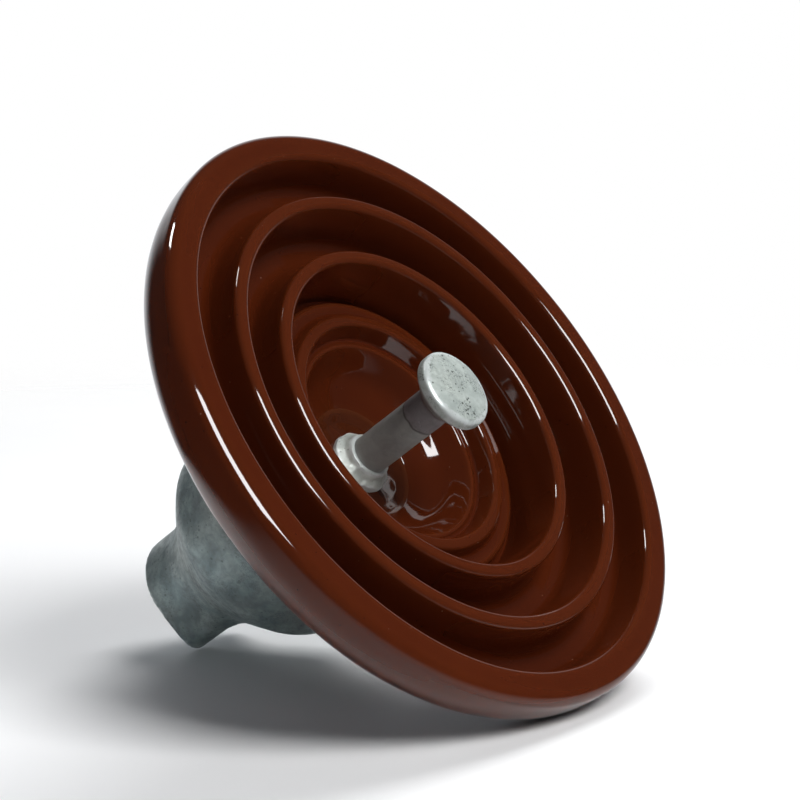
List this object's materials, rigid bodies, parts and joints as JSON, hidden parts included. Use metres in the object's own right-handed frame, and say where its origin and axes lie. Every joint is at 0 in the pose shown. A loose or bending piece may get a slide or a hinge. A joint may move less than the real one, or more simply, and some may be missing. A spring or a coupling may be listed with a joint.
{
  "type": "cap and pin porcelain suspension insulator",
  "caption": "Brown glazed porcelain disc suspension insulator with a ball pin below and a socket cap above, joined in strings by ball and socket couplings.",
  "frame": {"origin": "the point of the socket where the ball shoulder of the unit above bears, on the string axis", "axes": "+Z along the string axis, cap up and ball pin down, as the unit hangs; the open side of the socket faces -X and the locking clip's slot faces +X"},
  "size_m": [0.255, 0.255, 0.1728],
  "materials": {
    "glaze": "gloss",
    "cap_iron": "galvanised, matt",
    "pin_steel": "galvanised, satin",
    "sleeve_zinc": "cast zinc, matt",
    "cement": "matt",
    "sand_glaze": "rough",
    "cork": "matt",
    "bitumen": "satin",
    "seal_paint": "gloss",
    "clip_bronze": "satin"
  },
  "bodies": {
    "insulator": {"porcelain_shell": "glaze", "cap": "cap_iron", "pin": "pin_steel", "cap_cement": "cement", "pin_cement": "cement", "head_sand_band": "sand_glaze", "bore_sand_band": "sand_glaze", "head_cushion": "cork", "pin_cushion": "cork", "cap_bitumen_coat": "bitumen", "pin_bitumen_coat": "bitumen", "zinc_sleeve": "sleeve_zinc", "cap_face_seal": "seal_paint", "pin_face_seal": "seal_paint"},
    "locking_clip": {"locking_clip": "clip_bronze"}
  },
  "joints": [
    {"name": "clip_slide", "type": "slide", "parent": "insulator", "child": "locking_clip", "axis": [1, 0, 0], "range_m": [0, 0.0128]}
  ]
}
